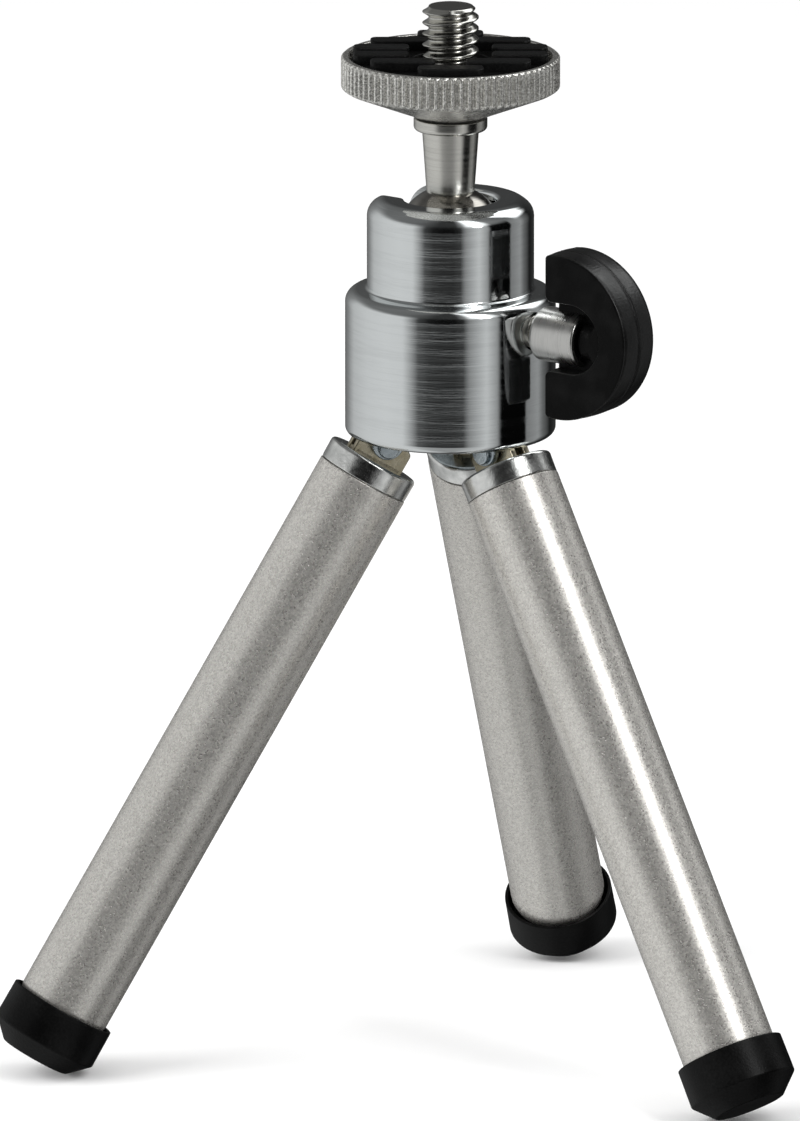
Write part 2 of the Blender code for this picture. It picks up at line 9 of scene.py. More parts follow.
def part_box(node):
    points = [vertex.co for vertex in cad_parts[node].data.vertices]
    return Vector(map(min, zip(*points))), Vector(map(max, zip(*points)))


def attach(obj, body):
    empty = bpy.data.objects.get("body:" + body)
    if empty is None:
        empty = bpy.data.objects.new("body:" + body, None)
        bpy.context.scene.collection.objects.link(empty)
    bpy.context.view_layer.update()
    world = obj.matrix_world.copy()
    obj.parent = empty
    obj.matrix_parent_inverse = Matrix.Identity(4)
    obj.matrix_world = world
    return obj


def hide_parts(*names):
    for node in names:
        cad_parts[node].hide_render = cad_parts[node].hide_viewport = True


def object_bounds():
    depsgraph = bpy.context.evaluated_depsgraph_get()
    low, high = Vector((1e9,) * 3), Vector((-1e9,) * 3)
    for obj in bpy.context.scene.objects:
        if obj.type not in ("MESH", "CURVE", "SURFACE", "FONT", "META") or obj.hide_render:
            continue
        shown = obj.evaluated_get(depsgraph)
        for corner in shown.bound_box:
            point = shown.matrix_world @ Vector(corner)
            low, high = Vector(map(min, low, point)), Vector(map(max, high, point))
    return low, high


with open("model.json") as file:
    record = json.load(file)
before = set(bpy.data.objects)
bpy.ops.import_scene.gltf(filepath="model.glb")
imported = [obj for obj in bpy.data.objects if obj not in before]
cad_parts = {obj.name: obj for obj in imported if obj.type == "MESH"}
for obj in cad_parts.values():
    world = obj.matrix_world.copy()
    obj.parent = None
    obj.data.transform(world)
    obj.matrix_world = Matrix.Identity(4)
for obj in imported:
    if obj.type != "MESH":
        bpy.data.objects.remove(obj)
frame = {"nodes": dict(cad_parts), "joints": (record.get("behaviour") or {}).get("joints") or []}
cad_low, cad_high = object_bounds()


# Head housing. A cold-forged and turned steel body, chromed and polished: a narrow neck on a wider
# base, a round mouth for the ball, a slot for upright framing and a side hole for the clamp screw.
# The lathe's last light cuts still show as fine rings under the chrome.

MM = 0.001
housing_low, housing_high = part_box("head_housing")
head_x = (housing_low.x + housing_high.x) / 2
head_y = (housing_low.y + housing_high.y) / 2
head_frame = Matrix.Translation((head_x, head_y, housing_low.z)) @ Matrix.Scale(MM, 4)

ARC_STEP = 0.2     # radians between the points of a rounded corner
ARC_SHARE = 0.49   # most of a side that a corner's arc may take up
SHORT_SIDE = 0.3   # a straight shorter than this gets no points of its own
SIDE_POINT = 0.06  # from a straight's end to its first point


def above(z):
    """Height in millimetres over the underside of the head."""
    return (z - housing_low.z) / MM


def rounded(corners, closed=False, longest=1.5):
    """An outline through corners of (across, up, rounding). At each corner the two straight sides
    are joined by an arc that touches both, and long straights get points no further apart than
    longest, with one close to each end so that the shading stays flat between them."""
    corners = [(*c, 0.0)[:3] for c in corners]
    count = len(corners)
    runs = []
    for i, (x, y, rounding) in enumerate(corners):
        here = np.array((x, y), float)
        ends = not closed and i in (0, count - 1)
        if ends or rounding <= 0:
            runs.append(here[None])
            continue
        before = np.array(corners[i - 1][:2], float) - here
        after = np.array(corners[(i + 1) % count][:2], float) - here
        size_before, size_after = np.linalg.norm(before), np.linalg.norm(after)
        before, after = before / size_before, after / size_after
        opening = np.arccos(np.clip(before @ after, -1, 1))
        reach = min(rounding / np.tan(opening / 2), ARC_SHARE * size_before, ARC_SHARE * size_after)
        radius = reach * np.tan(opening / 2)
        inward = (before + after) / np.linalg.norm(before + after)
        middle = here + inward * radius / np.sin(opening / 2)
        start, stop = here + before * reach - middle, here + after * reach - middle
        steps = max(3, int(np.ceil((np.pi - opening) / ARC_STEP)))
        t = np.linspace(0, 1, steps + 1)[:, None]
        bend = np.pi - opening
        arc = np.sin((1 - t) * bend) * start + np.sin(t * bend) * stop
        runs.append(middle + arc / np.sin(bend))
    outline = [runs[0]]
    pairs = zip(runs, runs[1:] + (runs[:1] if closed else []))
    for k, (run, following) in enumerate(pairs):
        a, b = run[-1], following[0]
        length = np.linalg.norm(b - a)
        if length > SHORT_SIDE:
            near = min(SIDE_POINT, 0.2 * length)
            inner = np.linspace(near, length - near, max(2, int(length / longest) + 1))
            outline.append(a + (b - a) * inner[:, None] / length)
        if not (closed and k == count - 1):
            outline.append(following)
    return np.concatenate(outline)


def skinned(name, grid, place, loop=False):
    """A closed mesh over a grid of points in millimetres, rows by columns. Neighbouring points
    make one four-sided face, the last column meets the first, and with loop the last row does too.
    Rows that shrink to one point become poles. place turns millimetres into the model's metres."""
    rows, columns = grid.shape[:2]
    index = np.arange(rows * columns).reshape(rows, columns)
    if loop:
        index = np.vstack([index, index[:1]])
    after = np.roll(index, -1, axis=1)
    quads = np.stack([index[:-1], after[:-1], after[1:], index[1:]], axis=-1).reshape(-1, 4)
    mesh = bpy.data.meshes.new(name)
    mesh.from_pydata(grid.reshape(-1, 3).tolist(), [], quads.tolist())
    sheet = bmesh.new()
    sheet.from_mesh(mesh)
    bmesh.ops.remove_doubles(sheet, verts=sheet.verts, dist=1e-5)
    sheet.to_mesh(mesh)
    sheet.free()
    mesh.transform(place)
    mesh.shade_smooth()
    piece = bpy.data.objects.new(name, mesh)
    bpy.context.scene.collection.objects.link(piece)
    return piece


def turned(name, outline, place, facets=96, relief=None, loop=False):
    """A turned piece. Its outline of (radius, height), bottom to top along the outer side, is
    carried once round the axis: each point is (r cos a, r sin a, height), where r is the radius
    less what relief takes away at that radius, height and angle a."""
    angle = np.arange(facets) * 2 * np.pi / facets
    radius, height = outline[:, :1], outline[:, 1:]
    cut = relief(radius, height, angle[None]) if relief else 0.0
    r = np.maximum(radius - cut, 0.0) * np.ones_like(angle)[None]
    grid = np.stack([r * np.cos(angle), r * np.sin(angle), height * np.ones_like(r)], axis=-1)
    return skinned(name, grid, place, loop)


def node(tree, kind, inputs=(), **settings):
    """Adds a shader node, sets it up, and feeds its inputs with values or with other sockets."""
    made = tree.nodes.new(kind)
    for key, value in settings.items():
        setattr(made, key, value)
    for key, value in dict(inputs).items():
        if isinstance(value, bpy.types.NodeSocket):
            tree.links.new(value, made.inputs[key])
        else:
            made.inputs[key].default_value = value
    return made


def effect(name, inputs, outputs):
    """Starts a shader node group with named number inputs and outputs."""
    group = bpy.data.node_groups.new(name, "ShaderNodeTree")
    group.interface.new_socket("Place", in_out="INPUT", socket_type="NodeSocketVector")
    for label, value in inputs:
        socket = group.interface.new_socket(label, in_out="INPUT", socket_type="NodeSocketFloat")
        socket.default_value = value
    for label in outputs:
        group.interface.new_socket(label, in_out="OUTPUT", socket_type="NodeSocketFloat")
    return group, group.nodes.new("NodeGroupInput"), group.nodes.new("NodeGroupOutput")


def build_lathe_rings():
    """Rings left by a lathe: noise that changes fast along the axis and slowly round it, at a
    coarse and a fine spacing. Out come its height and a softer tone for the roughness."""
    group, given, wanted = effect("lathe_rings", [("Spacing", 0.12), ("Breaks", 0.05)],
                                  ["Height", "Tone"])
    apart = node(group, "ShaderNodeSeparateXYZ", {0: given.outputs["Place"]})
    pace = node(group, "ShaderNodeMath", {0: 1.0 / MM, 1: given.outputs["Spacing"]},
                operation="DIVIDE")
    along = node(group, "ShaderNodeMath", {0: apart.outputs["Z"], 1: pace.outputs[0]},
                 operation="MULTIPLY")
    slow = node(group, "ShaderNodeMath", {0: given.outputs["Breaks"], 1: 1.0 / MM},
                operation="MULTIPLY")
    across = [node(group, "ShaderNodeMath", {0: apart.outputs[k], 1: slow.outputs[0]},
                   operation="MULTIPLY") for k in ("X", "Y")]
    spot = node(group, "ShaderNodeCombineXYZ",
                {"X": across[0].outputs[0], "Y": across[1].outputs[0], "Z": along.outputs[0]})
    fine = node(group, "ShaderNodeTexNoise", {"Vector": spot.outputs[0], "Scale": 1.0, "Detail": 3.0,
                                              "Roughness": 0.65})
    broad = node(group, "ShaderNodeTexNoise", {"Vector": spot.outputs[0], "Scale": 0.22,
                                               "Detail": 1.0})
    both = node(group, "ShaderNodeMath", {0: fine.outputs["Fac"], 1: broad.outputs["Fac"]},
                operation="ADD")
    half = node(group, "ShaderNodeMath", {0: both.outputs[0], 1: 0.5}, operation="MULTIPLY")
    group.links.new(half.outputs[0], wanted.inputs["Height"])
    group.links.new(broad.outputs["Fac"], wanted.inputs["Tone"])
    return group


def build_specks():
    """Small irregular grains, as on bead-blasted or moulded surfaces: noise of one grain size with
    a slower drift under it."""
    group, given, wanted = effect("specks", [("Grain", 0.15), ("Drift", 4.0)], ["Height", "Tone"])
    close = node(group, "ShaderNodeMath", {0: 1.0 / MM, 1: given.outputs["Grain"]},
                 operation="DIVIDE")
    wide = node(group, "ShaderNodeMath", {0: 1.0 / MM, 1: given.outputs["Drift"]},
                operation="DIVIDE")
    fine = node(group, "ShaderNodeTexNoise", {"Vector": given.outputs["Place"],
                                              "Scale": close.outputs[0], "Detail": 2.0,
                                              "Roughness": 0.6})
    slow = node(group, "ShaderNodeTexNoise", {"Vector": given.outputs["Place"],
                                              "Scale": wide.outputs[0], "Detail": 2.0})
    group.links.new(fine.outputs["Fac"], wanted.inputs["Height"])
    group.links.new(slow.outputs["Fac"], wanted.inputs["Tone"])
    return group


lathe_rings = build_lathe_rings()
specks = build_specks()


def started(name, roughness, metallic, colour):
    """Starts a material, and returns its tree, its shader and its object coordinates."""
    material = bpy.data.materials.new(name)
    material.use_nodes = True
    tree = material.node_tree
    shader = tree.nodes["Principled BSDF"]
    shader.inputs["Roughness"].default_value = roughness
    shader.inputs["Metallic"].default_value = metallic
    shader.inputs["Base Color"].default_value = (*colour, 1.0)
    place = node(tree, "ShaderNodeTexCoord").outputs["Object"]
    return material, tree, shader, place


def ranged(tree, value, low, high, start=0.3, stop=0.7):
    """Stretches the middle of a 0-to-1 value over a new range."""
    made = node(tree, "ShaderNodeMapRange", {"Value": value, "From Min": start, "From Max": stop,
                                             "To Min": low, "To Max": high})
    return made.outputs["Result"]


def toned(tree, value, dark, light):
    """A colour between two, chosen by a 0-to-1 value."""
    made = node(tree, "ShaderNodeMix", {"Factor": value, "A": (*dark, 1.0), "B": (*light, 1.0)},
                data_type="RGBA")
    return made.outputs["Result"]


def bumped(tree, shader, height, depth, strength=1.0):
    """Feeds a relief to the shader's normal: a height of 1 stands depth millimetres proud."""
    bump = node(tree, "ShaderNodeBump", {"Height": height, "Distance": depth * MM,
                                         "Strength": strength})
    tree.links.new(bump.outputs["Normal"], shader.inputs["Normal"])


def grained(tree, place, grain, drift):
    """Specks of one grain size over a slower drift, both in millimetres: their height and tone."""
    made = node(tree, "ShaderNodeGroup", {"Place": place, "Grain": grain, "Drift": drift},
                node_tree=specks)
    return made.outputs["Height"], made.outputs["Tone"]


def lathe_metal(name, colour, roughness, spacing, depth, spread=0.06, turn=None, breaks=0.05,
                shade=0.86):
    """Bright metal with lathe rings across the piece's axis. turn lays that axis along z."""
    material, tree, shader, place = started(name, roughness, 1.0, colour)
    if turn:
        place = node(tree, "ShaderNodeMapping", {"Vector": place, "Rotation": turn}).outputs[0]
    rings = node(tree, "ShaderNodeGroup", {"Place": place, "Spacing": spacing, "Breaks": breaks},
                 node_tree=lathe_rings)
    tree.links.new(ranged(tree, rings.outputs["Tone"], roughness - spread, roughness + spread),
                   shader.inputs["Roughness"])
    darker = tuple(shade * c for c in colour)
    tree.links.new(toned(tree, ranged(tree, rings.outputs["Height"], 0, 1, 0.38, 0.55), darker,
                         colour), shader.inputs["Base Color"])
    bumped(tree, shader, rings.outputs["Height"], depth,
           strength=ranged(tree, rings.outputs["Tone"], 0.2, 1.0, 0.40, 0.60))
    return material


def dressed(piece, material, slot, body, *stands_for):
    """Gives a piece its finish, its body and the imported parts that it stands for."""
    piece.data.materials.clear()
    piece.data.materials.append(material)
    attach(piece, body)
    if stands_for:
        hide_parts(*stands_for)
    return piece


def cut_out(piece, *shapes):
    """Takes shapes out of a piece, by modifiers that wait to be applied."""
    for shape in shapes:
        cut = piece.modifiers.new(shape.name, "BOOLEAN")
        cut.object = shape
        cut.solver = "EXACT"


def applied(piece, *cutters):
    """Fixes a piece's modifiers into its mesh, and removes the shapes they used."""
    graph = bpy.context.evaluated_depsgraph_get()
    mesh = bpy.data.meshes.new_from_object(piece.evaluated_get(graph))
    mesh.name = piece.name
    piece.modifiers.clear()
    piece.data = mesh
    for cutter in cutters:
        bpy.data.objects.remove(cutter)
    return piece


chrome = lathe_metal("bright_chrome", (0.86, 0.885, 0.89), 0.075, 0.15, 0.013, 0.03, breaks=0.26,
                     shade=0.93)

HEAD_TALL = above(housing_high.z)
BASE_R = (housing_high.x - housing_low.x) / 2 / MM
NECK_R = 9.4
SHOULDER = 16.6
MOUTH_R = 5.2
SEAT_GAP = 0.3
BASE_WALL, HOLLOW_DEEP = 1.7, 2.8
ball_low, ball_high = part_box("ball")
BALL_R = (ball_high.z - ball_low.z) / 2 / MM
BALL_UP = (ball_low.z + ball_high.z) / 2 / MM - housing_low.z / MM
SEAT_R = BALL_R + SEAT_GAP
CLAMP_UP = 13.2
seat_up = BALL_UP + np.sqrt(SEAT_R ** 2 - MOUTH_R ** 2)
seat_angle = np.linspace(np.arccos(MOUTH_R / SEAT_R), 0, 14)
seat = np.stack([SEAT_R * np.cos(seat_angle), BALL_UP + SEAT_R * np.sin(seat_angle)], axis=-1)
hollow_r = BASE_R - BASE_WALL
outer = rounded([(hollow_r, 0), (BASE_R, 0, 1.2), (BASE_R, SHOULDER - 0.25, 1.9),
                 (NECK_R, SHOULDER + 0.1, 0.3), (NECK_R, HEAD_TALL - 1.1, 2.2),
                 (NECK_R - 1.5, HEAD_TALL, 1.6), (MOUTH_R, HEAD_TALL, 0.45), (MOUTH_R, seat_up)])
inner = rounded([(SEAT_R, BALL_UP), (SEAT_R, HOLLOW_DEEP), (hollow_r, HOLLOW_DEEP, 0.2),
                 (hollow_r, 0)])
housing_outline = np.concatenate([outer[:-1], seat, inner[1:-1]])
housing = turned("chromed_housing", housing_outline, head_frame, facets=200, loop=True)

SLOT_HALF = 3.55
SLOT_FLARE = 1.6   # how much further the far wall stands back at the top
FLARE_TALL = 2.4
CUT_PAST = 5.0
arc_turn = np.linspace(-np.pi / 2, np.pi / 2, 24)
slot_low = np.stack([BALL_UP - SLOT_HALF * np.cos(arc_turn), SLOT_HALF * np.sin(arc_turn)], axis=-1)
slot_high = [(HEAD_TALL - FLARE_TALL, SLOT_HALF + 0.25), (HEAD_TALL + 0.5, SLOT_HALF + SLOT_FLARE),
             (HEAD_TALL + CUT_PAST, SLOT_HALF + SLOT_FLARE), (HEAD_TALL + CUT_PAST, -SLOT_HALF)]
slot_path = np.concatenate([slot_low, slot_high])
slot_far, slot_near = -NECK_R - 4, -3.0
slot_grid = np.array([[(x, y, z) for z, y in slot_path] for x in (slot_far, slot_near)])
slot_shape = skinned("slot_shape", slot_grid, head_frame)


def capped(piece):
    """Closes the open ends of a tube-like mesh, each with one flat face, and turns all faces out."""
    sheet = bmesh.new()
    sheet.from_mesh(piece.data)
    lids = bmesh.ops.holes_fill(sheet, edges=[e for e in sheet.edges if e.is_boundary])["faces"]
    for lid in lids:
        lid.smooth = False
    bmesh.ops.recalc_face_normals(sheet, faces=sheet.faces)
    sheet.to_mesh(piece.data)
    sheet.free()
    return piece


capped(slot_shape)
along_x = Matrix.Rotation(np.pi / 2, 4, "Y")
clamp_frame = head_frame @ Matrix.Translation((0, 0, CLAMP_UP)) @ along_x
HOLE_R, HOLE_START, HOLE_END = 2.15, 3.0, 16.0
hole_outline = np.array([(0, HOLE_START), (HOLE_R, HOLE_START), (HOLE_R, HOLE_END), (0, HOLE_END)])
hole_shape = turned("hole_shape", hole_outline, clamp_frame, facets=64)
cut_out(housing, slot_shape, hole_shape)
soft_edge = housing.modifiers.new("softened_edges", "BEVEL")
soft_edge.limit_method = "ANGLE"
soft_edge.angle_limit = np.radians(42)
soft_edge.width = 0.28 * MM
soft_edge.segments = 3
applied(housing, slot_shape, hole_shape)
housing.data.shade_smooth()
dressed(housing, chrome, "bright_chrome", "head", "head_housing")


# Ball and stem. One turned steel piece: a ball, a stem that widens upwards and a collar with a
# rounded lower edge. Nickel plated, a little duller than the housing, with fine turning marks.

nickel = lathe_metal("turned_nickel", (0.76, 0.745, 0.70), 0.22, 0.10, 0.0016, 0.05, breaks=0.12)
# Painted shade: the ball gets a much darker copy of the stem's nickel, standing in for the shade it
# lies in deep inside the housing's mouth.
ball_nickel_painted_shade = lathe_metal("ball_nickel_painted_shade", (0.34, 0.325, 0.30), 0.13, 0.10, 0.0016, 0.05)
stem_low, stem_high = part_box("ball_stem")
ball_turn = np.linspace(-np.pi / 2, np.pi / 2, 65)
ball_outline = np.stack([BALL_R * np.cos(ball_turn), BALL_UP + BALL_R * np.sin(ball_turn)], axis=-1)
ball_outline[[0, -1], 0] = 0.0
ball = turned("head_ball", ball_outline, head_frame, facets=96)
dressed(ball, ball_nickel_painted_shade, "turned_nickel", "ball", "ball")

COLLAR_TOP = above(stem_high.z)
COLLAR_TALL = 1.4
STEM_TOP_R, STEM_FOOT_R, COLLAR_R = 3.2, 2.72, 4.15
STEM_SUNK = 2.5    # how far the stem's foot reaches into the ball
stem_foot = BALL_UP + np.sqrt(BALL_R ** 2 - STEM_FOOT_R ** 2)
stem_outline = rounded([(0, stem_foot - STEM_SUNK), (STEM_FOOT_R - 0.4, stem_foot - STEM_SUNK),
                        (STEM_FOOT_R, stem_foot + 0.2, 0.2),
                        (STEM_TOP_R, COLLAR_TOP - COLLAR_TALL, 0.12),
                        (COLLAR_R, COLLAR_TOP - COLLAR_TALL, 0.65),
                        (COLLAR_R, COLLAR_TOP, 0.15), (0, COLLAR_TOP)])
stem = turned("tapered_stem", stem_outline, head_frame)
dressed(stem, nickel, "turned_nickel", "stem", "ball_stem")


# Platform disc. Turned from bar, straight-knurled round the rim and nickel plated, with a shallow
# cone underneath that seats on the stem's collar and a recess on top for the rubber pad.

disc_low, disc_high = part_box("knurled_disc")
DISC_R = (disc_high.x - disc_low.x) / 2 / MM
DISC_BASE = above(disc_low.z)
DISC_TOP = above(disc_high.z)
RIM_TALL = 3.8
RIM_THICK, RECESS_DEEP = 0.85, 1.3
TEETH = 80
TOOTH_DEPTH = 0.50
TOOTH_CREST = 0.30  # share of a tooth's width that stays uncut
RIM_BASE = DISC_TOP - RIM_TALL


def knurling(radius, height, angle):
    """Straight knurling: a groove of V shape with a rounded floor between every two teeth, which
    runs out towards both edges of the rim. Away from the rim it takes nothing off."""
    share = np.abs((angle * TEETH / (2 * np.pi)) % 1.0 - 0.5) * 2
    groove = np.clip((share - TOOTH_CREST) / (1 - TOOTH_CREST), 0, 1) ** 0.8
    run_out = np.clip((DISC_TOP - 0.12 - height) / 0.3, 0, 1)
    run_out = run_out * np.clip((height - RIM_BASE - 0.05) / 0.25, 0, 1)
    on_rim = radius > DISC_R - 0.45
    return TOOTH_DEPTH * groove * np.sqrt(run_out) * on_rim


disc_outline = rounded([(0, DISC_BASE), (COLLAR_R, DISC_BASE, 0.1), (DISC_R - 0.5, RIM_BASE, 0.1),
                        (DISC_R, RIM_BASE + 0.3, 0.2), (DISC_R, DISC_TOP - 0.22, 0.1),
                        (DISC_R - 0.25, DISC_TOP, 0.1), (DISC_R - RIM_THICK, DISC_TOP, 0.1),
                        (DISC_R - RIM_THICK, DISC_TOP - RECESS_DEEP, 0.1),
                        (0, DISC_TOP - RECESS_DEEP)], longest=0.35)
disc = turned("platform_disc", disc_outline, head_frame, facets=TEETH * 8, relief=knurling)


def build_knurl_metal():
    """Nickel over cut knurling: rough where the tool has torn the steel, brighter on the crests."""
    material, tree, shader, place = started("knurled_nickel", 0.22, 0.90, (0.68, 0.665, 0.62))
    height, tone = grained(tree, place, 0.24, 2.5)
    tree.links.new(toned(tree, ranged(tree, height, 0, 1), (0.40, 0.39, 0.36), (1.0, 0.99, 0.95)),
                   shader.inputs["Base Color"])
    tree.links.new(ranged(tree, tone, 0.16, 0.32), shader.inputs["Roughness"])
    bumped(tree, shader, height, 0.05)
    return material


dressed(disc, build_knurl_metal(), "turned_nickel", "platform", "knurled_disc")


# Platform pad. Moulded black rubber, glued into the disc's recess: a flat base with a round hole
# for the screw and six raised ribs with soft edges and rounded ends.

pad_low, pad_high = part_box("platform_pad")
PAD_BASE = above(pad_low.z)
PAD_TOP = above(pad_high.z) + 0.3
PAD_R = (pad_high.x - pad_low.x) / 2 / MM
PAD_HOLE = 4.3
RIB_TURN = np.radians(37)
RIB_COUNT, RIB_PITCH, RIB_WIDE, RIB_TALL = 6, 3.7, 2.45, 1.15
RIB_ROUND, RIB_SUNK = 0.75, 0.3


def plated(name, path, place, edge):
    """A flat piece cut to a closed path, anticlockwise. Each row is the path drawn in towards its
    inside by a distance and set at a height, both from edge, which runs from the lower face round
    the rim to the upper face. One flat face closes each end."""
    ahead, behind = np.roll(path, -1, axis=0), np.roll(path, 1, axis=0)
    direction = (ahead - behind) / np.linalg.norm(ahead - behind, axis=1, keepdims=True)
    inward = np.stack([-direction[:, 1], direction[:, 0]], axis=-1)
    edge = np.asarray(edge, float)
    flat = path[None] + inward[None] * edge[:, :1, None]
    grid = np.concatenate([flat, np.broadcast_to(edge[:, 1:, None], (*flat.shape[:2], 1))], axis=-1)
    return capped(skinned(name, grid, place))


def soft_rim(thick, rounding, steps=4, low=0.0):
    """Rim of a flat piece: quarter circles between its faces and its side."""
    t = np.linspace(0, np.pi / 2, steps + 1)
    under = np.stack([rounding * (1 - np.sin(t)), low + rounding * (1 - np.cos(t))], axis=-1)
    over = np.stack([rounding * (1 - np.cos(t)), low + thick - rounding * (1 - np.sin(t))], axis=-1)
    inner_low, inner_high = (rounding + 0.06, low), (rounding + 0.06, low + thick)
    return np.concatenate([[inner_low], under, over, [inner_high]])


def joined(name, *pieces):
    """Puts several closed meshes in one object."""
    whole = bmesh.new()
    for piece in pieces:
        whole.from_mesh(piece.data)
        bpy.data.objects.remove(piece)
    mesh = bpy.data.meshes.new(name)
    whole.to_mesh(mesh)
    whole.free()
    mesh.shade_smooth()
    made = bpy.data.objects.new(name, mesh)
    bpy.context.scene.collection.objects.link(made)
    return made


base_outline = rounded([(PAD_HOLE, PAD_BASE), (PAD_R, PAD_BASE), (PAD_R, PAD_TOP - RIB_TALL, 0.12),
                        (PAD_HOLE, PAD_TOP - RIB_TALL, 0.12)], closed=True)
ribs = [turned("pad_base", base_outline, head_frame, loop=True)]
for k in range(RIB_COUNT):
    across = (k - (RIB_COUNT - 1) / 2) * RIB_PITCH
    far = np.sqrt((PAD_R - 0.15) ** 2 - (abs(across) + RIB_WIDE / 2) ** 2) + 0.35
    near = np.sqrt(max(0.0, (PAD_HOLE + 0.35) ** 2 - (max(abs(across) - RIB_WIDE / 2, 0)) ** 2))
    spans = [(-far, far)] if near == 0 else [(-far, -near), (near, far)]
    for left, right in spans:
        low, high = across - RIB_WIDE / 2, across + RIB_WIDE / 2
        path = rounded([(left, low, RIB_ROUND), (right, low, RIB_ROUND),
                        (right, high, RIB_ROUND), (left, high, RIB_ROUND)], closed=True)
        rib = plated("pad_rib", path, head_frame @ Matrix.Rotation(RIB_TURN, 4, "Z"),
                     soft_rim(PAD_TOP - PAD_BASE - RIB_SUNK, 0.22, low=PAD_BASE + RIB_SUNK))
        ribs.append(rib)
pad = joined("ribbed_pad", *ribs)


def build_rubber(name, colour, grain, depth, roughness):
    """Moulded rubber: nearly black, dull, with a fine sandy surface and faint lighter dust."""
    material, tree, shader, place = started(name, roughness, 0.0, colour)
    height, tone = grained(tree, place, grain, 5.0)
    mixed = node(tree, "ShaderNodeMath", {0: height, 1: tone}, operation="MULTIPLY")
    lighter = tuple(2.6 * c + 0.001 for c in colour)
    tree.links.new(toned(tree, ranged(tree, mixed.outputs[0], 0, 1, 0.18, 0.42), colour, lighter),
                   shader.inputs["Base Color"])
    tree.links.new(ranged(tree, tone, roughness - 0.08, roughness + 0.08),
                   shader.inputs["Roughness"])
    shader.inputs["Specular IOR Level"].default_value = 0.14
    bumped(tree, shader, height, depth)
    return material


pad_rubber = build_rubber("pad_rubber", (0.0025, 0.0025, 0.0025), 0.22, 0.05, 0.36)
dressed(pad, pad_rubber, "black_rubber", "platform", "platform_pad")


# Camera screw. A quarter-inch stud with 20 threads to the inch, rolled right-handed, nickel plated
# and very bright, with a chamfered tip. Its thread is a real helix.

screw_low, screw_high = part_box("camera_screw")
SCREW_TOP = above(screw_high.z)
SCREW_BASE = PAD_BASE - 1.2
SCREW_R, SCREW_PITCH, SCREW_DEPTH = 3.175, 1.27, 0.70


def helix(radius_out, pitch, depth, tip):
    """A right-hand thread as a relief: the surface sinks by depth between crests, along a slope
    that has a narrow flat on the crest and a rounded root, and the whole pattern climbs one pitch
    a turn. Past tip the radius follows a cone."""
    def relief(radius, height, angle):
        phase = (height / pitch - angle / (2 * np.pi)) % 1.0
        slope = np.clip((np.abs(phase - 0.5) * 2 - 0.12) / 0.76, 0, 1)
        sunk = depth * (1 - (1 - slope) ** 1.25)
        cone = np.clip(height - tip, 0, None) * 1.1
        return np.where(radius > radius_out - 0.01, np.maximum(sunk, cone), 0.0)
    return relief


def threaded(name, radius, pitch, depth, low, high, tip_length, place, facets=72):
    """A threaded stud: rows every fourteenth of a pitch, closed by a flat end."""
    rows = np.arange(low, high, pitch / 14)
    side = np.stack([np.full_like(rows, radius), rows], axis=-1)
    end_r = radius - depth - 0.05
    outline = np.concatenate([[(0, low), (end_r, low)], side,
                              [(end_r, high), (end_r * 0.96, high), (0, high)]])
    return turned(name, outline, place, facets, helix(radius, pitch, depth, high - tip_length))


camera_screw = threaded("quarter_inch_screw", SCREW_R, SCREW_PITCH, SCREW_DEPTH, SCREW_BASE,
                        SCREW_TOP, 0.62, head_frame)
screw_metal = lathe_metal("bright_screw_nickel", (0.68, 0.67, 0.63), 0.16, 0.25, 0.0009, 0.05)
dressed(camera_screw, screw_metal, "turned_nickel", "platform", "camera_screw")


# Clamp. A plated screw in the side of the head, a bright turned sleeve at the root of the knob, and
# a knob with one D-shaped wing of moulded black plastic. The wing has a U-shaped notch round the
# sleeve, a crowned rim with the mould's parting line, and a hub where the screw is moulded in.

knob_low, knob_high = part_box("clamp_knob")
boss_low, boss_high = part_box("clamp_boss")
KNOB_X = (knob_low.x - head_x) / MM
KNOB_TIP = (knob_high.x - head_x) / MM
KNOB_HALF = (knob_high.z - knob_low.z) / 2 / MM
WING_THICK = (knob_high.y - knob_low.y) / MM
WING_LIFT = 0.45
BOSS_START, BOSS_END = (boss_low.x - head_x) / MM, (boss_high.x - head_x) / MM
BOSS_R = (boss_high.z - boss_low.z) / 2 / MM
STUD_R, STUD_PITCH, STUD_DEPTH = 1.85, 0.7, 0.36
clamp_stud = threaded("clamp_stud", STUD_R, STUD_PITCH, STUD_DEPTH, HOLE_START, BOSS_START + 0.3,
                      0.1, clamp_frame, 48)
clamp_metal = lathe_metal("clamp_nickel", (0.62, 0.61, 0.57), 0.24, 0.10, 0.001, 0.06,
                          turn=(0, -np.pi / 2, 0))
dressed(clamp_stud, clamp_metal, "turned_nickel", "clamp_screw", "clamp_screw")

boss_outline = rounded([(0, BOSS_START), (BOSS_R, BOSS_START, 0.5), (BOSS_R, BOSS_END, 0.22),
                        (BOSS_R - 0.55, BOSS_END, 0.12), (BOSS_R - 0.75, BOSS_END - 0.35, 0.1),
                        (0, BOSS_END - 0.35)])
boss = turned("knob_sleeve", boss_outline, clamp_frame, facets=72)
sleeve_metal = lathe_metal("sleeve_nickel", (0.70, 0.69, 0.67), 0.30, 0.20, 0.004, 0.06,
                           turn=(0, -np.pi / 2, 0), breaks=0.5)
dressed(boss, sleeve_metal, "turned_nickel", "knob", "clamp_boss")

